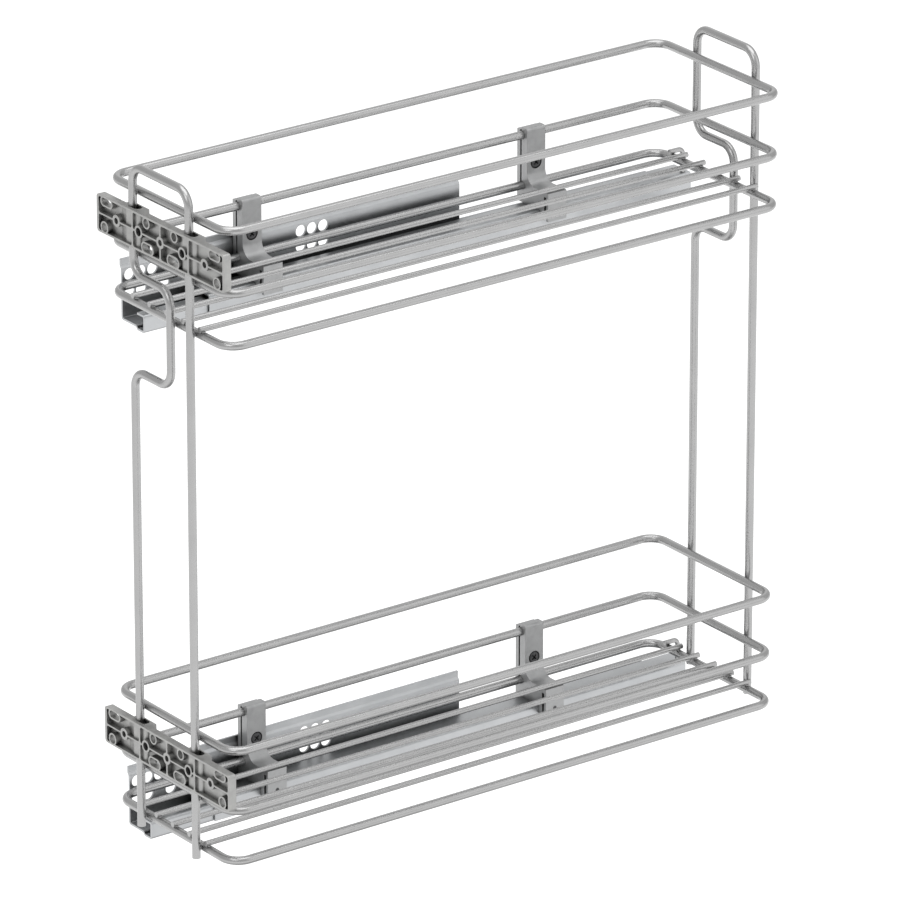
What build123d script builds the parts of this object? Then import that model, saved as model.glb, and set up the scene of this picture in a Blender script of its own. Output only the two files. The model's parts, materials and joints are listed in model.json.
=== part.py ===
from build123d import *
import os

# A pull-out rack for a narrow kitchen cabinet: two wire baskets hung between two bent wire frames,
# each basket clamped to the drawer rail of a full-extension runner.
# X runs from the cabinet's side wall into the cabinet, the rack pulls out along -Y, and Z is up.
# The origin is the middle of the four front screw holes of the lower runner, on the flange's back.

# Baskets: sizes are between wire centres.
basket_width = 139.2
basket_depth = 469.0
basket_middle = 77.5
front_y = -24.0
loop_wire = 6.0
loop_bend = 13.0
middle_drop = 44.8
floor_drop = 82.25
floor_wire = 4.0
floor_wire_count = 5
floor_wire_pitch = 20.0
floor_wire_end = 3.0
lower_rim = 83.75
tier_gap = 378.3

# Frames: one bent wire in front of the baskets and one behind them.
frame_wire = 6.0
frame_width = 66.6
frame_bend = 12.0
handle_rise = 19.8
jog_shift = 43.3
jog_drop = 58.3
jog_height = 69.9
foot_drop = 89.2

# Door brackets: ribbed castings that the cabinet door is screwed to, with a raised ring round each hole.
# Holes and ribs are placed from the bracket's middle.
door_width = 151.0
door_height = 27.3
door_depth = 5.5
door_face = 12.0
door_drop = 22.6
door_shift = 7.4
door_rim = 1.5
door_web = 1.5
door_mid_rib = 1.2
door_rib_x = 33.1
door_corner = 2.5
sleeve_slot = 12.0
sleeve_wall = 1.2
sleeve_end = 4.6
sleeve_play = 0.1
sleeve_foot = 27.5
sleeve_side = 3.7
sleeve_ramp = 7.0
fixing_hole_x = 25.8
fixing_hole = 6.0
fixing_boss = 9.0
ring_wall = 1.2
end_hole_x = 66.5
end_hole = 6.6
upper_hole_x = 16.5
upper_hole = 6.0
round_hole_z = 9.0
end_slot_x = 63.7
end_slot_z = 9.8
end_slot_length = 12.0
end_slot_width = 5.0
lower_slot_x = 15.2
lower_slot_length = 12.4
lower_slot_width = 6.0
pip_x = 52.2
pip_boss = 8.6
pip_hole = 4.4

# Clamps: a cast saddle on the drawer rail and a counter plate, screwed together round two wires.
# Front, back, lap and the tops are measured from the wires' middle.
clamp_width = 16.0
front_clamp_y = 113.0
rear_clamp_y = 356.5
clamp_split = 1.0
clamp_front = 5.8
clamp_lap = 0.6
clamp_back = 5.8
clamp_top = 5.8
clamp_round = 2.0
counter_sheet = 3.6
counter_top = 3.6
wire_play = 0.05
screw_drop = 65.0
screw_head = 8.0
screw_head_height = 2.2
screw_recess = 9.6
screw_shank = 4.0
plate_foot_drop = 70.5
shelf_radius = 9.5
shelf_reach = 30.7
tab_wall = 2.3
tab_slot = 2.7
tab_drop = 101.0
tab_slot_roof = 3.6
tab_screw_drop = 95.8
tab_screw = 3.0
peg = 4.0
peg_pitch = 8.0

# Runner: a fixed cabinet rail, a middle rail and a drawer rail, with rollers between them.
sheet = 1.5
wall_joggle = 1.5
flange_top_drop = 65.6
joggle_drop = 70.5
joggle_run = 2.0
rail_front = 13.2
flange_length = 285.4
cabinet_length = 450.0
floor_underside_drop = 109.5
floor_far_width = 17.5
floor_step = 2.0
channel_width = 27.9
near_wall_top_drop = 98.6
lip_width = 9.0
sheet_bend = 2.0
fixing_drop = 83.75
front_row_gap = 12.9
back_row_gap = 11.3
back_row_lift = 0.6
screw_pitch = 9.5
screw_hole = 8.5
back_holes_y = 148.0

drawer_sheet = 1.2
drawer_front = 66.0
drawer_behind = 13.0
drawer_width = 21.2
drawer_offset = 0.4
drawer_top_drop = 94.9
drawer_skirt = 15.9
drawer_far_skirt = 9.5
drawer_toe = 3.0
side_play = 0.4

middle_front = 70.0
middle_length = 388.0
middle_sheet = 1.3
lip_play = 0.4
middle_rib_gap = 4.6
middle_rib_height = 3.8
middle_rib_inset = 2.0
roller_play = 0.3
roller_count = 4
roller_pitch = 26.0
cage_sheet = 0.8
cage_margin = 0.5
cage_end = 6.0

# Soft-close damper beside the drawer rail, and the hook that keeps the basket's back on the rail.
damper_length = 110.0
damper_start = 190.0
damper_height = 9.0
damper_play = 0.6
damper_rod = 2.5
damper_stroke = 40.0
hook_rod = 3.5
hook_bend = 4.0
hook_reach = 12.0
hook_inset = 4.5
hook_x = 25.5

upper_rim = lower_rim + tier_gap
back_y = front_y + basket_depth
side_wire_x = basket_middle - basket_width / 2
drawer_x = side_wire_x + drawer_offset
front_frame_y = front_y - (loop_wire + frame_wire) / 2
back_frame_y = back_y + (loop_wire + frame_wire) / 2
tiers = {"upper": upper_rim, "lower": lower_rim}
clamps = {"front": front_y + front_clamp_y, "rear": front_y + rear_clamp_y}
loops = {"top": 0, "middle": middle_drop, "floor": floor_drop}


def across(y):
    # The plane square to the rails at y: its own x is X and its own y is Z.
    return Plane(origin=(0, y, 0), x_dir=(1, 0, 0), z_dir=(0, -1, 0))


os.makedirs("parts", exist_ok=True)

# Wire loops and floor wires of both baskets
for tier, rim in tiers.items():
    for place, drop in loops.items():
        with BuildPart() as loop:
            with BuildLine(Plane.XY.offset(rim - drop)) as path:
                near_x = side_wire_x + basket_width
                FilletPolyline(
                    (side_wire_x, back_y), (side_wire_x, front_y), (near_x, front_y), (near_x, back_y),
                    radius=loop_bend,
                    close=True,
                )
            with BuildSketch(Plane(origin=path.line @ 0, z_dir=path.line % 0)):
                Circle(loop_wire / 2)
            sweep()
        loop.part.label = f"{tier}_{place}_loop"
        export_step(loop.part, f"parts/{tier}_{place}_loop.step")

    floor_wire_z = rim - floor_drop + (loop_wire + floor_wire) / 2
    with BuildPart() as floor_wires:
        with BuildSketch(across(back_y + floor_wire_end)):
            with Locations((basket_middle, floor_wire_z)):
                with GridLocations(floor_wire_pitch, 0, floor_wire_count, 1):
                    Circle(floor_wire / 2)
        extrude(amount=basket_depth + 2 * floor_wire_end)
    floor_wires.part.label = f"{tier}_floor_wires"
    export_step(floor_wires.part, f"parts/{tier}_floor_wires.step")

# Frames: the wall-side post steps aside to pass the hand grip between its two cross runs.
post_far = basket_middle - frame_width / 2
post_near = basket_middle + frame_width / 2
for name, frame_y in {"front_frame": front_frame_y, "rear_frame": back_frame_y}.items():
    foot = lower_rim - foot_drop
    grip = upper_rim + handle_rise
    jog_top = upper_rim - jog_drop
    jog_foot = jog_top - jog_height
    with BuildPart() as frame:
        with BuildLine(across(frame_y)) as path:
            FilletPolyline(
                (post_far, foot),
                (post_far, jog_foot),
                (post_far + jog_shift, jog_foot),
                (post_far + jog_shift, jog_top),
                (post_far, jog_top),
                (post_far, grip),
                (post_near, grip),
                (post_near, foot),
                radius=frame_bend,
            )
        with BuildSketch(Plane(origin=path.line @ 0, z_dir=path.line % 0)):
            Circle(frame_wire / 2)
        sweep()
    frame.part.label = name
    export_step(frame.part, f"parts/{name}.step")

# Door brackets: pockets between ribs in front, and a slotted sleeve round each frame post behind.
door_front_y = front_y - door_face
door_back_y = door_front_y + door_depth
door_x = basket_middle + door_shift
slot_depth = frame_wire + 2 * sleeve_play
sleeve_back_y = front_frame_y + slot_depth / 2 + sleeve_wall
for tier, rim in tiers.items():
    door_z = rim - door_drop
    face = Plane(origin=(door_x, door_front_y, door_z), x_dir=(1, 0, 0), z_dir=(0, -1, 0))
    sleeve_foot_plane = Plane.XY.offset(door_z - door_height / 2)
    slot_centres = [
        (post + (sleeve_slot - frame_wire) / 2 - sleeve_play, front_frame_y) for post in (post_far, post_near)
    ]
    with BuildPart() as door_bracket:
        with BuildSketch(face):
            RectangleRounded(door_width, door_height, door_corner)
        extrude(amount=-door_depth)
        # Pockets in front, between the rims and the ribs
        bays = [-door_width / 2 + door_rim, -door_rib_x, 0, door_rib_x, door_width / 2 - door_rim]
        bay_height = (door_height - door_mid_rib) / 2 - door_rim
        with BuildSketch(face):
            for left, right in zip(bays, bays[1:]):
                width = right - left - door_rim
                with Locations(((left + right) / 2, 0)):
                    with GridLocations(0, bay_height + door_mid_rib, 1, 2):
                        RectangleRounded(width, bay_height, door_rim)
        extrude(amount=-(door_depth - door_web), mode=Mode.SUBTRACT)
        # Bosses round the holes, as deep as the ribs
        with BuildSketch(face):
            with GridLocations(2 * fixing_hole_x, 0, 2, 1):
                Circle(fixing_boss / 2)
            with GridLocations(2 * pip_x, 0, 2, 1):
                Circle(pip_boss / 2)
            Circle(pip_boss / 2)
            with Locations((0, -round_hole_z)):
                with GridLocations(2 * end_hole_x, 0, 2, 1):
                    Circle(end_hole / 2 + ring_wall)
                with GridLocations(2 * lower_slot_x, 0, 2, 1):
                    SlotOverall(lower_slot_length + 2 * ring_wall, lower_slot_width + 2 * ring_wall)
            with Locations((0, round_hole_z)):
                with GridLocations(2 * upper_hole_x, 0, 2, 1):
                    Circle(upper_hole / 2 + ring_wall)
            with Locations((0, end_slot_z)):
                with GridLocations(2 * end_slot_x, 0, 2, 1):
                    SlotOverall(end_slot_length + 2 * ring_wall, end_slot_width + 2 * ring_wall)
        extrude(amount=-door_depth)
        # Sleeves: a rounded wall in the pocket and a foot with one sloped end behind the web
        with BuildSketch(sleeve_foot_plane):
            for x, y in slot_centres:
                with Locations((x + (sleeve_end - sleeve_wall) / 2, y)):
                    RectangleRounded(
                        sleeve_slot + sleeve_wall + sleeve_end, slot_depth + 2 * sleeve_wall, slot_depth / 2
                    )
                slot_left = x - sleeve_slot / 2
                far = slot_left - sleeve_side
                ramp_top = slot_left + slot_depth / 2
                web_y = door_back_y - door_web
                with BuildLine():
                    Polyline(
                        (slot_left - sleeve_ramp, web_y),
                        (ramp_top, y - slot_depth / 2 - sleeve_wall),
                        (ramp_top, web_y),
                        close=True,
                    )
                make_face()
                with BuildLine():
                    Polyline(
                        (far, door_back_y),
                        (far, sleeve_back_y),
                        (x + sleeve_slot / 2 + sleeve_end, sleeve_back_y),
                        (far + sleeve_foot, door_back_y),
                        close=True,
                    )
                make_face()
        extrude(amount=door_height)
        with BuildSketch(sleeve_foot_plane):
            with Locations(*slot_centres):
                SlotOverall(sleeve_slot, slot_depth)
        extrude(amount=door_height, mode=Mode.SUBTRACT)
        # Holes for the screws that lock the bracket on the posts, right through the sleeves' feet
        with BuildSketch(face):
            with GridLocations(2 * fixing_hole_x, 0, 2, 1):
                Circle(fixing_hole / 2)
        extrude(amount=door_front_y - sleeve_back_y, mode=Mode.SUBTRACT)
        # Holes through the web for the door's screws and pegs
        with BuildSketch(face):
            with GridLocations(2 * pip_x, 0, 2, 1):
                Circle(pip_hole / 2)
            Circle(pip_hole / 2)
            with Locations((0, -round_hole_z)):
                with GridLocations(2 * end_hole_x, 0, 2, 1):
                    Circle(end_hole / 2)
                with GridLocations(2 * lower_slot_x, 0, 2, 1):
                    SlotOverall(lower_slot_length, lower_slot_width)
            with Locations((0, round_hole_z)):
                with GridLocations(2 * upper_hole_x, 0, 2, 1):
                    Circle(upper_hole / 2)
            with Locations((0, end_slot_z)):
                with GridLocations(2 * end_slot_x, 0, 2, 1):
                    SlotOverall(end_slot_length, end_slot_width)
        extrude(amount=-door_depth, mode=Mode.SUBTRACT)
    door_bracket.part.label = f"{tier}_door_bracket"
    export_step(door_bracket.part, f"parts/{tier}_door_bracket.step")

# Clamps and their screws
plate_face_x = side_wire_x + clamp_front
plate_back_x = side_wire_x - clamp_lap
counter_back_x = side_wire_x - clamp_back
tab_x = side_wire_x + shelf_reach
shelf_drop = plate_foot_drop + shelf_radius
drawer_near_x = drawer_x + drawer_width
for tier, rim in tiers.items():
    middle_z = rim - middle_drop
    floor_z = rim - floor_drop
    top_z = middle_z + clamp_top
    rail_z = rim - drawer_top_drop
    shelf_z = rim - shelf_drop
    tab_z = rim - tab_drop
    screw_z = rim - screw_drop
    tab_screw_z = rim - tab_screw_drop
    for place, clamp_y in clamps.items():
        with BuildPart() as clamp:
            with BuildSketch(across(clamp_y)):
                with BuildLine():
                    slot_x = tab_x - tab_wall
                    Line((plate_back_x, top_z), (plate_face_x - clamp_round, top_z))
                    JernArc((plate_face_x - clamp_round, top_z), (1, 0), clamp_round, -90)
                    Line((plate_face_x, top_z - clamp_round), (plate_face_x, rim - plate_foot_drop))
                    JernArc((plate_face_x, rim - plate_foot_drop), (0, -1), shelf_radius, 90)
                    Polyline(
                        (plate_face_x + shelf_radius, shelf_z),
                        (tab_x, shelf_z),
                        (tab_x, tab_z),
                        (slot_x, tab_z),
                        (slot_x, shelf_z - tab_slot_roof),
                        (slot_x - tab_slot, shelf_z - tab_slot_roof),
                        (slot_x - tab_slot, tab_z),
                        (drawer_near_x, tab_z),
                        (drawer_near_x, rail_z),
                        (counter_back_x, rail_z),
                        (counter_back_x, floor_z - clamp_split / 2),
                        (plate_back_x, floor_z - clamp_split / 2),
                        (plate_back_x, top_z),
                    )
                make_face()
                with Locations((side_wire_x, middle_z), (side_wire_x, floor_z)):
                    Circle(loop_wire / 2 + wire_play, mode=Mode.SUBTRACT)
                    Rectangle(2 * clamp_lap, loop_wire + 2 * wire_play, mode=Mode.SUBTRACT)
            extrude(amount=clamp_width / 2, both=True)
            # Pegs through the drawer rail's top
            with BuildSketch(Plane.XY.offset(rail_z)):
                with Locations((drawer_x + drawer_width / 2, clamp_y)):
                    with GridLocations(0, peg_pitch, 1, 2):
                        Circle(peg / 2)
            extrude(amount=-drawer_sheet)
            # Screw hole with a recess for the head, and the small screw's hole through the tab
            with BuildSketch(Plane(origin=(plate_face_x, clamp_y, screw_z), z_dir=(1, 0, 0))):
                Circle(screw_recess / 2)
            extrude(amount=-screw_head_height, mode=Mode.SUBTRACT)
            with BuildSketch(Plane(origin=(plate_face_x, clamp_y, screw_z), z_dir=(1, 0, 0))):
                Circle(screw_shank / 2 + wire_play)
            extrude(amount=-(clamp_front + clamp_lap), mode=Mode.SUBTRACT)
            with BuildSketch(Plane(origin=(tab_x, clamp_y, tab_screw_z), z_dir=(1, 0, 0))):
                Circle(tab_screw / 2 + wire_play)
            extrude(amount=-(tab_x - drawer_near_x), mode=Mode.SUBTRACT)
        clamp.part.label = f"{tier}_{place}_clamp"
        export_step(clamp.part, f"parts/{tier}_{place}_clamp.step")

        with BuildPart() as counter:
            with BuildSketch(across(clamp_y)):
                with Locations((counter_back_x, floor_z)):
                    Rectangle(counter_sheet, middle_z + counter_top - floor_z, align=(Align.MIN, Align.MIN))
                with Locations((side_wire_x, middle_z), (side_wire_x, floor_z)):
                    Circle(loop_wire / 2 + wire_play, mode=Mode.SUBTRACT)
            extrude(amount=clamp_width / 2, both=True)
            with BuildSketch(Plane(origin=(counter_back_x, clamp_y, screw_z), z_dir=(1, 0, 0))):
                Circle(screw_shank / 2 + wire_play)
            extrude(amount=counter_sheet, mode=Mode.SUBTRACT)
        counter.part.label = f"{tier}_{place}_counter_plate"
        export_step(counter.part, f"parts/{tier}_{place}_counter_plate.step")

    with BuildPart() as clamp_screws:
        for clamp_y in clamps.values():
            with BuildSketch(Plane(origin=(plate_face_x - screw_head_height, clamp_y, screw_z), z_dir=(1, 0, 0))):
                Circle(screw_head / 2)
            extrude(amount=screw_head_height)
            with BuildSketch(Plane(origin=(counter_back_x, clamp_y, screw_z), z_dir=(1, 0, 0))):
                Circle(screw_shank / 2)
            extrude(amount=plate_face_x - screw_head_height - counter_back_x)
    clamp_screws.part.label = f"{tier}_clamp_screws"
    export_step(clamp_screws.part, f"parts/{tier}_clamp_screws.step")

    with BuildPart() as tab_screws:
        for clamp_y in clamps.values():
            with BuildSketch(Plane(origin=(tab_x, clamp_y, tab_screw_z), z_dir=(1, 0, 0))):
                Circle(tab_screw / 2)
            extrude(amount=-(tab_x - drawer_near_x))
    tab_screws.part.label = f"{tier}_tab_screws"
    export_step(tab_screws.part, f"parts/{tier}_tab_screws.step")

# Runners
channel_front_y = front_y + rail_front
drawer_front_y = front_y + drawer_front
drawer_back_y = back_y + drawer_behind
drawer_length = drawer_back_y - drawer_front_y
middle_front_y = front_y + middle_front
lip_end_x = channel_width - lip_width
hook_y = drawer_back_y - hook_inset
for tier, rim in tiers.items():
    with BuildPart() as cabinet_rail:
        with BuildSketch(across(channel_front_y + cabinet_length)):
            with BuildLine():
                FilletPolyline(
                    (-wall_joggle, rim - flange_top_drop),
                    (-wall_joggle, rim - joggle_drop),
                    (0, rim - joggle_drop - joggle_run),
                    (0, rim - floor_underside_drop),
                    (floor_far_width, rim - floor_underside_drop),
                    (floor_far_width + sheet, rim - floor_underside_drop - floor_step),
                    (channel_width, rim - floor_underside_drop - floor_step),
                    (channel_width, rim - near_wall_top_drop),
                    (lip_end_x, rim - near_wall_top_drop),
                    radius=sheet_bend,
                )
                offset(amount=sheet, side=Side.RIGHT)
            make_face()
        extrude(amount=cabinet_length)
        # Behind the flange's end only the channel goes on
        with BuildSketch(across(channel_front_y + cabinet_length)):
            with Locations((-wall_joggle, rim - flange_top_drop)):
                Rectangle(
                    wall_joggle + sheet,
                    near_wall_top_drop - flange_top_drop,
                    align=(Align.MIN, Align.MAX),
                )
        extrude(amount=cabinet_length - flange_length, mode=Mode.SUBTRACT)
        # Screw holes: a group of six, and four at the front with one more in each row
        fixing_z = rim - fixing_drop
        with BuildSketch(Plane(origin=(0, 0, fixing_z), x_dir=(0, 1, 0), z_dir=(1, 0, 0))):
            with GridLocations(screw_pitch, front_row_gap, 2, 2):
                Circle(screw_hole / 2)
            with Locations((1.5 * screw_pitch, front_row_gap / 2), (2.5 * screw_pitch, -front_row_gap / 2)):
                Circle(screw_hole / 2)
            with Locations((back_holes_y, back_row_lift)):
                with GridLocations(screw_pitch, back_row_gap, 3, 2):
                    Circle(screw_hole / 2)
        extrude(amount=sheet, mode=Mode.SUBTRACT)
    cabinet_rail.part.label = f"{tier}_cabinet_rail"
    export_step(cabinet_rail.part, f"parts/{tier}_cabinet_rail.step")

    rail_z = rim - drawer_top_drop
    with BuildPart() as drawer_rail:
        with BuildSketch(across(drawer_back_y)):
            with BuildLine():
                FilletPolyline(
                    (drawer_x + drawer_toe, rail_z - drawer_far_skirt),
                    (drawer_x, rail_z - drawer_far_skirt),
                    (drawer_x, rail_z),
                    (drawer_near_x, rail_z),
                    (drawer_near_x, rail_z - drawer_skirt),
                    radius=sheet_bend,
                )
                offset(amount=drawer_sheet, side=Side.RIGHT)
            make_face()
        extrude(amount=drawer_length)
        with BuildSketch(Plane.XY.offset(rail_z)):
            for clamp_y in clamps.values():
                with Locations((drawer_x + drawer_width / 2, clamp_y)):
                    with GridLocations(0, peg_pitch, 1, 2):
                        Circle(peg / 2 + wire_play)
            with Locations((hook_x, hook_y)):
                Circle(hook_rod / 2 + wire_play)
        extrude(amount=-drawer_sheet, mode=Mode.SUBTRACT)
    drawer_rail.part.label = f"{tier}_drawer_rail"
    export_step(drawer_rail.part, f"parts/{tier}_drawer_rail.step")

    # The middle rail's plate runs under the channel's lip and over the drawer rail's toe.
    plate_z = rim - near_wall_top_drop - sheet - lip_play
    plate_far_x = drawer_x + drawer_sheet + side_play
    plate_near_x = channel_width - sheet - 2 * side_play
    rib_x = plate_far_x + middle_rib_inset
    with BuildPart() as middle_rail:
        with BuildSketch(across(middle_front_y + middle_length)):
            with Locations((plate_far_x, plate_z)):
                Rectangle(plate_near_x - plate_far_x, middle_sheet, align=(Align.MIN, Align.MAX))
            ribs_z = plate_z - middle_sheet
            with Locations((rib_x, ribs_z), (rib_x + middle_sheet + middle_rib_gap, ribs_z)):
                Rectangle(middle_sheet, middle_rib_height, align=(Align.MIN, Align.MAX))
        extrude(amount=middle_length)
    middle_rail.part.label = f"{tier}_middle_rail"
    export_step(middle_rail.part, f"parts/{tier}_middle_rail.step")

    # Rollers and their cages, above the middle rail's plate and under it between the ribs
    under_drawer_z = rail_z - drawer_sheet
    channel_floor_z = rim - floor_underside_drop + sheet
    decks = {
        "drawer": (plate_far_x, lip_end_x - side_play, plate_z, under_drawer_z),
        "cabinet": (
            rib_x + middle_sheet, rib_x + middle_sheet + middle_rib_gap, channel_floor_z, plate_z - middle_sheet,
        ),
    }
    carriage_y = {"drawer": drawer_front_y + drawer_length / 2, "cabinet": middle_front_y + middle_length / 2}
    for deck, (left, right, bottom, top) in decks.items():
        roller_radius = (top - bottom) / 2 - roller_play
        axle_z = (top + bottom) / 2
        cage_width = right - left - 2 * side_play
        roller_width = cage_width - 2 * cage_sheet - 2 * cage_margin
        centre = ((left + right) / 2, carriage_y[deck])
        with BuildPart() as rollers:
            with BuildSketch(Plane(origin=(centre[0], centre[1], axle_z), x_dir=(0, 1, 0), z_dir=(1, 0, 0))):
                with GridLocations(roller_pitch, 0, roller_count, 1):
                    Circle(roller_radius)
            extrude(amount=roller_width / 2, both=True)
        rollers.part.label = f"{tier}_{deck}_rollers"
        export_step(rollers.part, f"parts/{tier}_{deck}_rollers.step")

        cage_length = roller_pitch * (roller_count - 1) + 2 * (roller_radius + cage_end)
        with BuildPart() as cage:
            with BuildSketch(Plane.XY.offset(axle_z - cage_sheet / 2)):
                with Locations(centre):
                    Rectangle(cage_width, cage_length)
                    with GridLocations(0, roller_pitch, 1, roller_count):
                        Rectangle(
                            roller_width + 2 * cage_margin,
                            2 * (roller_radius + cage_margin),
                            mode=Mode.SUBTRACT,
                        )
            extrude(amount=cage_sheet)
        cage.part.label = f"{tier}_{deck}_roller_cage"
        export_step(cage.part, f"parts/{tier}_{deck}_roller_cage.step")

    # Soft-close damper on the channel's floor, between the flange and the drawer rail
    damper_width = drawer_x - sheet - 2 * damper_play
    damper_y = front_y + damper_start
    damper_x = sheet + damper_play + damper_width / 2
    with BuildPart() as damper:
        with BuildSketch(across(damper_y + damper_length)):
            with Locations((damper_x, channel_floor_z)):
                Rectangle(damper_width, damper_height, align=(Align.CENTER, Align.MIN))
        extrude(amount=damper_length)
    damper.part.label = f"{tier}_damper"
    export_step(damper.part, f"parts/{tier}_damper.step")

    with BuildPart() as rod:
        with BuildSketch(across(damper_y)):
            with Locations((damper_x, channel_floor_z + damper_height / 2)):
                Circle(damper_rod / 2)
        extrude(amount=damper_stroke)
    rod.part.label = f"{tier}_damper_rod"
    export_step(rod.part, f"parts/{tier}_damper_rod.step")

    # Rear hook: from the drawer rail's end up and over the back wire of the basket's floor
    hook_z = rim - floor_drop + (loop_wire + hook_rod) / 2 + wire_play
    with BuildPart() as hook:
        with BuildLine() as path:
            FilletPolyline(
                (hook_x, hook_y, rail_z - drawer_sheet),
                (hook_x, hook_y, hook_z),
                (hook_x, hook_y - hook_reach, hook_z),
                radius=hook_bend,
            )
        with BuildSketch(Plane(origin=path.line @ 0, z_dir=path.line % 0)):
            Circle(hook_rod / 2)
        sweep()
    hook.part.label = f"{tier}_rear_hook"
    export_step(hook.part, f"parts/{tier}_rear_hook.step")
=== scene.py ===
import json
import math
import bpy
from mathutils import Matrix, Vector


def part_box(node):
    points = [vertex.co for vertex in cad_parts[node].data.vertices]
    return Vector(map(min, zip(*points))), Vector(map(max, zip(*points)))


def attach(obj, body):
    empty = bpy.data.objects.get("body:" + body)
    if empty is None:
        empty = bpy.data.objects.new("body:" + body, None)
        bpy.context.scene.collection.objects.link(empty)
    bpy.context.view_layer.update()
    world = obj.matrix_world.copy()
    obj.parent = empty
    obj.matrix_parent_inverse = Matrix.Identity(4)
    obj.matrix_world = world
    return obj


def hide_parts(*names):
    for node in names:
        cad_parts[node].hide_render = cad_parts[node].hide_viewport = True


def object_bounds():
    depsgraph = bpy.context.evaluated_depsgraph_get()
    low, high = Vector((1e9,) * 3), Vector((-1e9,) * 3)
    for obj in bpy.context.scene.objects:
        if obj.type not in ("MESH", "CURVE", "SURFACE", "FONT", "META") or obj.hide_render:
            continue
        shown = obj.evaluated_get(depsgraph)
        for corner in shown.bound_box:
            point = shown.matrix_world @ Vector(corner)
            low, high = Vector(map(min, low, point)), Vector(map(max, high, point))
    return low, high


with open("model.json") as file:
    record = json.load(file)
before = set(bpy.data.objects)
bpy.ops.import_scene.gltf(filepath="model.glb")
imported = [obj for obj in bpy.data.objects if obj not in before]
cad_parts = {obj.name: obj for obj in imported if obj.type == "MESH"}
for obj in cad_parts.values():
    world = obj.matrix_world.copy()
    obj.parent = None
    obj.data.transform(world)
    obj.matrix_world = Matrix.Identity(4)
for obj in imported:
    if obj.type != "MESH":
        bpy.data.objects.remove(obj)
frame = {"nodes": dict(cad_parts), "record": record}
cadLow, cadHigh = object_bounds()
nodes = frame["nodes"]
tiers = ("upper", "lower")
mm = 0.001
print("frame loaded:", len(nodes), "nodes")


def clearSelection():
    # An operator would act on all that is still selected
    for item in bpy.context.selected_objects:
        item.select_set(False)
    bpy.context.view_layer.objects.active = None


def makeActive(item):
    clearSelection()
    item.select_set(True)
    bpy.context.view_layer.objects.active = item


def addModifier(item, kind, **settings):
    makeActive(item)
    modifier = item.modifiers.new(kind.title(), kind)
    for key, value in settings.items():
        setattr(modifier, key, value)
    bpy.ops.object.modifier_apply(modifier=modifier.name)


def joinPieces(items, name):
    clearSelection()
    for item in items:
        item.select_set(True)
    bpy.context.view_layer.objects.active = items[0]
    if len(items) > 1:
        bpy.ops.object.join()
    joined = bpy.context.view_layer.objects.active
    bpy.ops.object.transform_apply(location=True, rotation=True, scale=True)
    joined.name = name
    return joined


def copyTo(item, places):
    # One copy for each place, each with its own mesh; the first piece itself goes
    copies = []
    for place in places:
        twin = item.copy()
        twin.data = item.data.copy()
        bpy.context.collection.objects.link(twin)
        twin.data.transform(Matrix.Translation(place))
        copies.append(twin)
    bpy.data.objects.remove(item)
    return copies


# Surface effects that several finishes share
def makeGroup(name, inputs, outputs):
    group = bpy.data.node_groups.new(name, "ShaderNodeTree")
    for label, kind, value in inputs:
        socket = group.interface.new_socket(name=label, in_out="INPUT", socket_type=kind)
        if value is not None:
            socket.default_value = value
    for label, kind in outputs:
        group.interface.new_socket(name=label, in_out="OUTPUT", socket_type=kind)
    return group, group.nodes.new("NodeGroupInput"), group.nodes.new("NodeGroupOutput")


edgeRound = 0.35 * mm
edgeSamples = 6
grainHeight = 0.3 * mm
pebbleHeight = 0.2 * mm


def roundEdges(group):
    # The slight round that pressing and casting leave on every edge
    bevel = group.nodes.new("ShaderNodeBevel")
    bevel.samples = edgeSamples
    bevel.inputs["Radius"].default_value = edgeRound
    return bevel.outputs["Normal"]


def makeMetalGrain():
    # Fine drawn or rolled lines, soft clouds of handling, and a bump from the lines on the rounded edges
    group, given, result = makeGroup(
        "metalGrain",
        (
            ("Vector", "NodeSocketVector", None),
            ("Line Scale", "NodeSocketVector", (900.0, 900.0, 900.0)),
            ("Cloud Size", "NodeSocketFloat", 60.0),
            ("Depth", "NodeSocketFloat", 0.05),
        ),
        (("Lines", "NodeSocketFloat"), ("Clouds", "NodeSocketFloat"), ("Normal", "NodeSocketVector")),
    )
    link = group.links.new
    stretch = group.nodes.new("ShaderNodeVectorMath")
    stretch.operation = "MULTIPLY"
    link(given.outputs["Vector"], stretch.inputs[0])
    link(given.outputs["Line Scale"], stretch.inputs[1])
    lines = group.nodes.new("ShaderNodeTexNoise")
    lines.inputs["Scale"].default_value = 1.0
    lines.inputs["Detail"].default_value = 3.0
    link(stretch.outputs[0], lines.inputs["Vector"])
    clouds = group.nodes.new("ShaderNodeTexNoise")
    clouds.inputs["Detail"].default_value = 4.0
    link(given.outputs["Vector"], clouds.inputs["Vector"])
    link(given.outputs["Cloud Size"], clouds.inputs["Scale"])
    bump = group.nodes.new("ShaderNodeBump")
    bump.inputs["Distance"].default_value = grainHeight
    link(roundEdges(group), bump.inputs["Normal"])
    link(lines.outputs["Fac"], bump.inputs["Height"])
    link(given.outputs["Depth"], bump.inputs["Strength"])
    link(lines.outputs["Fac"], result.inputs["Lines"])
    link(clouds.outputs["Fac"], result.inputs["Clouds"])
    link(bump.outputs["Normal"], result.inputs["Normal"])
    return group


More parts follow.
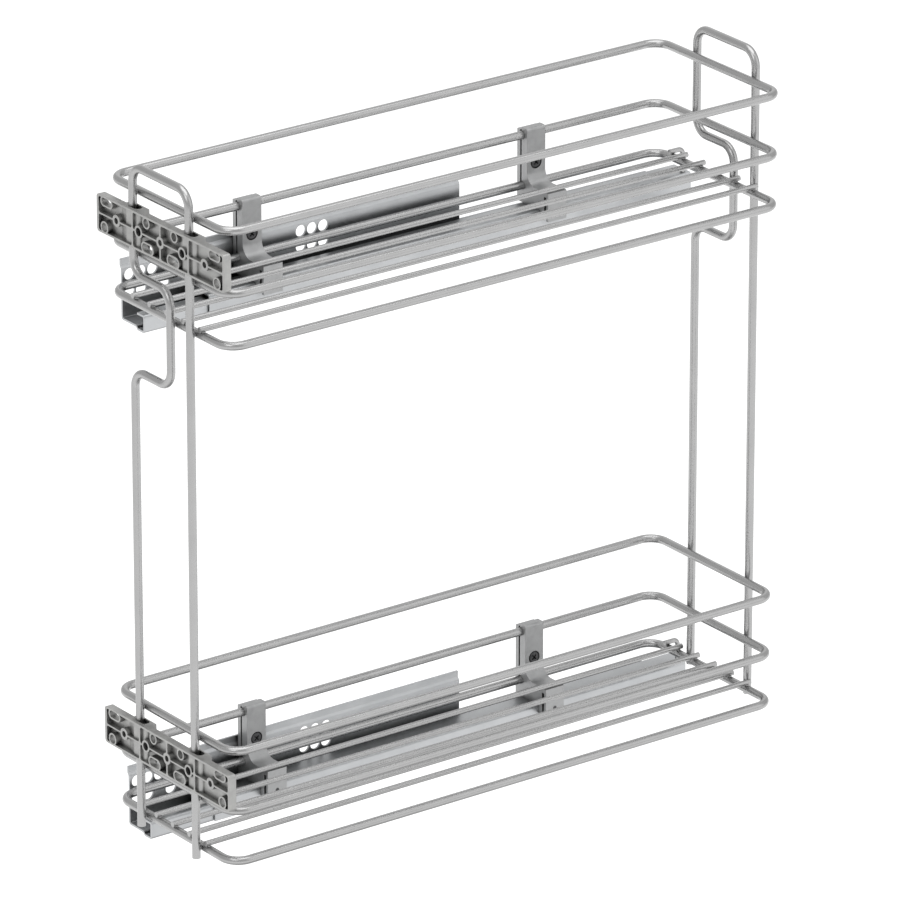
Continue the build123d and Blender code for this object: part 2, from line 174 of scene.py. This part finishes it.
def makeCastSkin():
    # The pebbled skin of a die casting, with darker flow marks
    group, given, result = makeGroup(
        "castSkin",
        (
            ("Vector", "NodeSocketVector", None),
            ("Pebble Size", "NodeSocketFloat", 1400.0),
            ("Mark Size", "NodeSocketFloat", 140.0),
            ("Depth", "NodeSocketFloat", 0.25),
        ),
        (("Pebbles", "NodeSocketFloat"), ("Marks", "NodeSocketFloat"), ("Normal", "NodeSocketVector")),
    )
    link = group.links.new
    pebbles = group.nodes.new("ShaderNodeTexVoronoi")
    pebbles.feature = "SMOOTH_F1"
    link(given.outputs["Vector"], pebbles.inputs["Vector"])
    link(given.outputs["Pebble Size"], pebbles.inputs["Scale"])
    marks = group.nodes.new("ShaderNodeTexNoise")
    marks.inputs["Detail"].default_value = 5.0
    marks.inputs["Distortion"].default_value = 0.6
    link(given.outputs["Vector"], marks.inputs["Vector"])
    link(given.outputs["Mark Size"], marks.inputs["Scale"])
    bump = group.nodes.new("ShaderNodeBump")
    bump.inputs["Distance"].default_value = pebbleHeight
    link(roundEdges(group), bump.inputs["Normal"])
    link(pebbles.outputs["Distance"], bump.inputs["Height"])
    link(given.outputs["Depth"], bump.inputs["Strength"])
    link(pebbles.outputs["Distance"], result.inputs["Pebbles"])
    link(marks.outputs["Fac"], result.inputs["Marks"])
    link(bump.outputs["Normal"], result.inputs["Normal"])
    return group


metalGrain = makeMetalGrain()
castSkin = makeCastSkin()


def startFinish(name, groupTree, settings, metallic):
    finish = bpy.data.materials.new(name)
    finish.use_nodes = True
    tree = finish.node_tree
    shader = tree.nodes["Principled BSDF"]
    shader.inputs["Metallic"].default_value = metallic
    place = tree.nodes.new("ShaderNodeTexCoord")
    effect = tree.nodes.new("ShaderNodeGroup")
    effect.node_tree = groupTree
    tree.links.new(place.outputs["Object"], effect.inputs["Vector"])
    for label, value in settings.items():
        effect.inputs[label].default_value = value
    # A drawn and plated wire is smooth: neither grain nor an edge to round
    if settings["Depth"] > 0:
        tree.links.new(effect.outputs["Normal"], shader.inputs["Normal"])
    return finish, tree, shader, effect


# Noise seldom leaves its middle values, so these parts of it are spread over the whole of a range
colourSpread = (0.35, 0.65)
glossSpread = (0.3, 0.7)


def blendColours(tree, source, low, high, target):
    ramp = tree.nodes.new("ShaderNodeValToRGB")
    ramp.color_ramp.elements[0].position = colourSpread[0]
    ramp.color_ramp.elements[1].position = colourSpread[1]
    ramp.color_ramp.elements[0].color = (*low, 1)
    ramp.color_ramp.elements[1].color = (*high, 1)
    tree.links.new(source, ramp.inputs["Fac"])
    tree.links.new(ramp.outputs["Color"], target)
    return ramp.outputs["Color"]


# Share of open air round a point, between which the painted corner shade thins out from full to none
cornerCover = {"samples": 8, "covered": 0.35, "open": 0.8}


def paintCornerShade(tree, colour, target, reach, depth):
    # Painted shade: the base colour is darkened in corners and channels, as far as ambient occlusion finds
    # them closed in
    cover = tree.nodes.new("ShaderNodeAmbientOcclusion")
    cover.samples = cornerCover["samples"]
    cover.inputs["Distance"].default_value = reach
    spread = tree.nodes.new("ShaderNodeMapRange")
    spread.inputs["From Min"].default_value = cornerCover["covered"]
    spread.inputs["From Max"].default_value = cornerCover["open"]
    spread.inputs["To Min"].default_value = depth
    tree.links.new(cover.outputs["AO"], spread.inputs["Value"])
    cornerShade = tree.nodes.new("ShaderNodeVectorMath")
    cornerShade.operation = "SCALE"
    tree.links.new(colour, cornerShade.inputs[0])
    tree.links.new(spread.outputs["Result"], cornerShade.inputs["Scale"])
    tree.links.new(cornerShade.outputs["Vector"], target)


def spreadValue(tree, source, low, high, target):
    spread = tree.nodes.new("ShaderNodeMapRange")
    spread.inputs["From Min"].default_value = glossSpread[0]
    spread.inputs["From Max"].default_value = glossSpread[1]
    spread.inputs["To Min"].default_value = low
    spread.inputs["To Max"].default_value = high
    tree.links.new(source, spread.inputs["Value"])
    tree.links.new(spread.outputs["Result"], target)


# Finishes: darkest and lightest tone, roughness, and the reach and depth of the painted shade in corners
finishes = {
    "wire": {"dark": (0.385, 0.385, 0.385), "light": (0.405, 0.405, 0.405), "gloss": (0.26, 0.29)},
    "rail": {
        "dark": (0.45, 0.46, 0.47),
        "light": (0.50, 0.51, 0.52),
        "gloss": (0.36, 0.42),
        "cornerShade": (20 * mm, 0.4),
    },
    "casting": {
        "dark": (0.34, 0.34, 0.335),
        "light": (0.41, 0.41, 0.40),
        "gloss": (0.36, 0.46),
        "cornerShade": (5 * mm, 0.3),
    },
    "clamp": {
        "dark": (0.33, 0.333, 0.335),
        "light": (0.38, 0.383, 0.385),
        "gloss": (0.36, 0.46),
        "cornerShade": (8 * mm, 0.3),
    },
    "screw": {
        "dark": (0.05, 0.05, 0.052),
        "light": (0.09, 0.09, 0.093),
        "gloss": (0.35, 0.5),
        "cornerShade": (2 * mm, 0.05),
    },
    "roller": {"dark": (0.55, 0.55, 0.55), "light": (0.68, 0.68, 0.68), "gloss": (0.15, 0.25)},
    "cage": {"dark": (0.70, 0.70, 0.66), "light": (0.78, 0.78, 0.75), "gloss": (0.45, 0.6)},
    "damper": {"dark": (0.015, 0.015, 0.016), "light": (0.035, 0.035, 0.037), "gloss": (0.4, 0.55)},
}


def metalFinish(slot, lineScale, cloudSize, depth):
    tone = finishes[slot]
    finish, tree, shader, grain = startFinish(
        slot + "Metal", metalGrain, {"Line Scale": lineScale, "Cloud Size": cloudSize, "Depth": depth}, 1.0
    )
    base = shader.inputs["Base Color"]
    colour = blendColours(tree, grain.outputs["Clouds"], tone["dark"], tone["light"], base)
    # Painted shade: corners and channels darkened in the base colour
    if "cornerShade" in tone:
        paintCornerShade(tree, colour, base, *tone["cornerShade"])
    spreadValue(tree, grain.outputs["Lines"], *tone["gloss"], shader.inputs["Roughness"])
    return finish


def castFinish(slot, pebbleSize, markSize, depth, metallic):
    tone = finishes[slot]
    finish, tree, shader, skin = startFinish(
        slot + "Skin", castSkin, {"Pebble Size": pebbleSize, "Mark Size": markSize, "Depth": depth}, metallic
    )
    base = shader.inputs["Base Color"]
    colour = blendColours(tree, skin.outputs["Marks"], tone["dark"], tone["light"], base)
    # Painted shade: corners and channels darkened in the base colour
    if "cornerShade" in tone:
        paintCornerShade(tree, colour, base, *tone["cornerShade"])
    spreadValue(tree, skin.outputs["Marks"], *tone["gloss"], shader.inputs["Roughness"])
    return finish


surfaces = {
    "wire": metalFinish("wire", (250, 250, 250), 45, 0.0),
    "rail": metalFinish("rail", (1600, 12, 1600), 35, 0.06),
    "roller": metalFinish("roller", (60, 2400, 2400), 200, 0.03),
    "casting": castFinish("casting", 1500, 120, 0.22, 0.85),
    "clamp": castFinish("clamp", 1700, 150, 0.25, 0.8),
    "screw": castFinish("screw", 3000, 400, 0.1, 0.6),
    "cage": castFinish("cage", 1800, 90, 0.1, 0.0),
    "damper": castFinish("damper", 1900, 120, 0.12, 0.0),
}
for entry in frame["record"]["subparts"]:
    for place in nodes[entry["node"]].material_slots:
        place.material = surfaces[entry["material_slot"]]
print("finishes made:", len(surfaces))


smoothAngle = math.radians(30)


def smoothSides(item):
    makeActive(item)
    bpy.ops.object.shade_smooth_by_angle(angle=smoothAngle)


def paint(item, slot):
    item.data.materials.clear()
    item.data.materials.append(surfaces[slot])


def addCylinder(vertices, radius, length, centre, turn):
    clearSelection()
    bpy.ops.mesh.primitive_cylinder_add(
        vertices=vertices, radius=radius, depth=length, location=centre, rotation=turn
    )
    cylinder = bpy.context.object
    bpy.ops.object.transform_apply(location=True, rotation=True, scale=True)
    return cylinder


alongX = (0, math.pi / 2, 0)
alongY = (math.pi / 2, 0, 0)

# Clamp screws with a cross recess
clampScrew = {
    "headRadius": 4.0 * mm,
    "headHeight": 2.2 * mm,
    "shankRadius": 2.0 * mm,
    "rim": 0.45 * mm,
    "armLength": 4.6 * mm,
    "armWidth": 1.0 * mm,
    "recess": 1.5 * mm,
    "armTurns": (math.radians(45), math.radians(135)),
    "headVertices": 48,
    "shankVertices": 32,
}


def makeClampScrew(length):
    # Head towards +X, its flat face at X = 0, the shank behind it
    size = clampScrew
    headMiddle = (-size["headHeight"] / 2, 0, 0)
    head = addCylinder(size["headVertices"], size["headRadius"], size["headHeight"], headMiddle, alongX)
    addModifier(head, "BEVEL", width=size["rim"], segments=4, limit_method="ANGLE")
    shankLength = length - size["headHeight"]
    shankMiddle = (-(length + size["headHeight"]) / 2, 0, 0)
    shank = addCylinder(size["shankVertices"], size["shankRadius"], shankLength, shankMiddle, alongX)
    for turn in size["armTurns"]:
        clearSelection()
        bpy.ops.mesh.primitive_cube_add(size=1, rotation=(turn, 0, 0))
        arm = bpy.context.object
        arm.scale = (2 * size["recess"], size["armLength"], size["armWidth"])
        bpy.ops.object.transform_apply(location=True, rotation=True, scale=True)
        addModifier(head, "BOOLEAN", operation="DIFFERENCE", object=arm, solver="EXACT")
        bpy.data.objects.remove(arm)
    return joinPieces([head, shank], "clampScrew")


for tier in tiers:
    low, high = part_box(tier + "_clamp_screws")
    places = []
    for end in ("front", "rear"):
        plateLow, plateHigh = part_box(f"{tier}_{end}_clamp")
        places.append(Vector((high.x, (plateLow.y + plateHigh.y) / 2, (low.z + high.z) / 2)))
    screws = joinPieces(copyTo(makeClampScrew(high.x - low.x), places), tier + "ClampScrews")
    smoothSides(screws)
    paint(screws, "screw")
    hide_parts(tier + "_clamp_screws")
    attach(screws, "rack")
print("clamp screws made")


# Black socket screws in the door brackets' two fixing holes
lockScrew = {
    "offset": 25.8 * mm,
    "radius": 2.95 * mm,
    "length": 6.0 * mm,
    "sunk": 2.5 * mm,
    "rim": 0.4 * mm,
    "socketRadius": 1.5 * mm,
    "socketDepth": 2.0 * mm,
    "vertices": 40,
    "socketSides": 6,
}


def makeLockScrew():
    # Socket end towards -Y, at Y = 0
    size = lockScrew
    middle = (0, size["length"] / 2, 0)
    screw = addCylinder(size["vertices"], size["radius"], size["length"], middle, alongY)
    addModifier(screw, "BEVEL", width=size["rim"], segments=3, limit_method="ANGLE")
    socket = addCylinder(
        size["socketSides"], size["socketRadius"], 2 * size["socketDepth"], (0, 0, 0), alongY
    )
    addModifier(screw, "BOOLEAN", operation="DIFFERENCE", object=socket, solver="EXACT")
    bpy.data.objects.remove(socket)
    return screw


for tier in tiers:
    low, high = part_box(tier + "_door_bracket")
    middle = (low + high) / 2
    socketEnd = low.y + lockScrew["sunk"]
    places = [Vector((middle.x + side * lockScrew["offset"], socketEnd, middle.z)) for side in (-1, 1)]
    screws = joinPieces(copyTo(makeLockScrew(), places), tier + "LockScrews")
    smoothSides(screws)
    paint(screws, "screw")
    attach(screws, "rack")
print("lock screws made")


# Weld beads where floor wires cross the loops and where the loops meet the frames
weld = {"across": 1.9 * mm, "along": 1.5 * mm, "height": 0.7 * mm, "frameSize": 1.6 * mm}
floorWireCount = 5
postStep = 43.3 * mm


def makeBead(scale):
    clearSelection()
    bpy.ops.mesh.primitive_uv_sphere_add(segments=16, ring_count=10, radius=1)
    bead = bpy.context.object
    bead.scale = scale
    bpy.ops.object.transform_apply(location=True, rotation=True, scale=True)
    bpy.ops.object.shade_smooth()
    return bead


def loopLines(tier, place):
    # Centre lines of a loop's front and rear wires: their Y values, their height and the wire's radius
    low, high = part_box(f"{tier}_{place}_loop")
    radius = (high.z - low.z) / 2
    return low.y + radius, high.y - radius, (low.z + high.z) / 2, radius


for tier in tiers:
    frontY, rearY, floorZ, loopRadius = loopLines(tier, "floor")
    wiresLow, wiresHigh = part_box(tier + "_floor_wires")
    wireRadius = (wiresHigh.z - wiresLow.z) / 2
    first, last = wiresLow.x + wireRadius, wiresHigh.x - wireRadius
    places = [
        Vector((first + (last - first) * step / (floorWireCount - 1), y, floorZ + loopRadius))
        for step in range(floorWireCount)
        for y in (frontY, rearY)
    ]
    beads = copyTo(makeBead((weld["across"], weld["along"], weld["height"])), places)
    frameBead = makeBead((weld["frameSize"], weld["height"], weld["frameSize"]))
    places = []
    for place in ("top", "middle", "floor"):
        frontY, rearY, height, loopRadius = loopLines(tier, place)
        for frameNode, y in (("front_frame", frontY - loopRadius), ("rear_frame", rearY + loopRadius)):
            frameLow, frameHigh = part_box(frameNode)
            postRadius = (frameHigh.y - frameLow.y) / 2
            posts = [frameHigh.x - postRadius]
            # At the height of the upper floor loop the wall-side post stands further in
            stepped = tier == "upper" and place == "floor"
            posts.append(frameLow.x + postRadius + (postStep if stepped else 0))
            places += [Vector((x, y, height)) for x in posts]
    beads += copyTo(frameBead, places)
    welds = joinPieces(beads, tier + "Welds")
    paint(welds, "wire")
    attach(welds, "rack")
print("welds made")

# Camera near the photo's view, but without its lens shift, so it looks down more steeply
cameraView = {
    "place": (4.60002, -3.10524, 2.48186),
    "azimuth": 53.7507,
    "elevation": 21.8892,
    "lens": 347.32,
    "sensor": 36,
    "nearest": 0.1,
    "farthest": 60,
}
camera = bpy.data.objects.new("camera", bpy.data.cameras.new("camera"))
bpy.context.collection.objects.link(camera)
around, above = math.radians(cameraView["azimuth"]), math.radians(cameraView["elevation"])
back = Vector((math.sin(around) * math.cos(above), -math.cos(around) * math.cos(above), math.sin(above)))
camera.location = cameraView["place"]
camera.rotation_mode = "QUATERNION"
camera.rotation_quaternion = (-back).to_track_quat("-Z", "Y")
camera.data.sensor_width = cameraView["sensor"]
camera.data.lens = cameraView["lens"]
camera.data.clip_start = cameraView["nearest"]
camera.data.clip_end = cameraView["farthest"]
bpy.context.scene.camera = camera

# Pale floor that glows a little, with a painted soft grey shadow below the object in its colour and glow,
# and studio light
studio = {
    "floorDrop": 0.42,
    "floorSize": 24.0,
    "floorTone": 0.85,
    "floorGlow": 0.42,
    "floorRoughness": 0.9,
    # Tone and radii of the painted shadow under the object
    "shadowPoolTone": 0.35,
    "shadowPoolInner": 0.0,
    "shadowPoolOuter": 0.9,
    "sky": 0.75,
}
centre = (cadLow + cadHigh) / 2
clearSelection()
bpy.ops.mesh.primitive_plane_add(
    size=studio["floorSize"], location=(centre.x, centre.y, cadLow.z - studio["floorDrop"])
)
floor = bpy.context.object
floor.name = "floor"
floorPaint = bpy.data.materials.new("paleFloor")
floorPaint.use_nodes = True
floorTree = floorPaint.node_tree
floorShader = floorTree.nodes["Principled BSDF"]
floorPlace = floorTree.nodes.new("ShaderNodeTexCoord")
# Painted shadow: colour and glow run from a grey middle under the object out to the pale floor tone
shadowPoolRadius = floorTree.nodes.new("ShaderNodeVectorMath")
shadowPoolRadius.operation = "LENGTH"
floorTree.links.new(floorPlace.outputs["Object"], shadowPoolRadius.inputs[0])
shadowPool = floorTree.nodes.new("ShaderNodeMapRange")
shadowPool.interpolation_type = "SMOOTHSTEP"
shadowPool.inputs["From Min"].default_value = studio["shadowPoolInner"]
shadowPool.inputs["From Max"].default_value = studio["shadowPoolOuter"]
floorTree.links.new(shadowPoolRadius.outputs["Value"], shadowPool.inputs["Value"])
shadowPoolTones = floorTree.nodes.new("ShaderNodeValToRGB")
shadowPoolTones.color_ramp.elements[0].color = (*[studio["shadowPoolTone"]] * 3, 1)
shadowPoolTones.color_ramp.elements[1].color = (*[studio["floorTone"]] * 3, 1)
floorTree.links.new(shadowPool.outputs["Result"], shadowPoolTones.inputs["Fac"])
floorTree.links.new(shadowPoolTones.outputs["Color"], floorShader.inputs["Base Color"])
floorTree.links.new(shadowPoolTones.outputs["Color"], floorShader.inputs["Emission Color"])
floorShader.inputs["Emission Strength"].default_value = studio["floorGlow"]
floorShader.inputs["Roughness"].default_value = studio["floorRoughness"]
floorShader.inputs["Specular IOR Level"].default_value = 0.0
floor.data.materials.append(floorPaint)

lights = {
    "key": {"place": (1.5, -2.6, 2.4), "size": 1.8, "power": 16},
    "side": {"place": (2.6, 1.9, 1.4), "size": 3.0, "power": 16},
    "back": {"place": (-2.6, 1.9, 1.6), "size": 2.4, "power": 4},
    "top": {"place": (0.2, 0.1, 3.0), "size": 3.0, "power": 46},
}
for name, light in lights.items():
    lamp = bpy.data.lights.new(name, "AREA")
    lamp.shape = "SQUARE"
    lamp.size = light["size"]
    lamp.energy = light["power"]
    holder = bpy.data.objects.new(name, lamp)
    bpy.context.collection.objects.link(holder)
    holder.location = centre + Vector(light["place"])
    holder.rotation_mode = "QUATERNION"
    holder.rotation_quaternion = (-Vector(light["place"])).to_track_quat("-Z", "Y")

world = bpy.data.worlds.new("studio")
bpy.context.scene.world = world
world.use_nodes = True
world.node_tree.nodes["Background"].inputs["Color"].default_value = (1, 1, 1, 1)
world.node_tree.nodes["Background"].inputs["Strength"].default_value = studio["sky"]
bpy.context.scene.view_settings.view_transform = "Standard"
print("stage and light made")
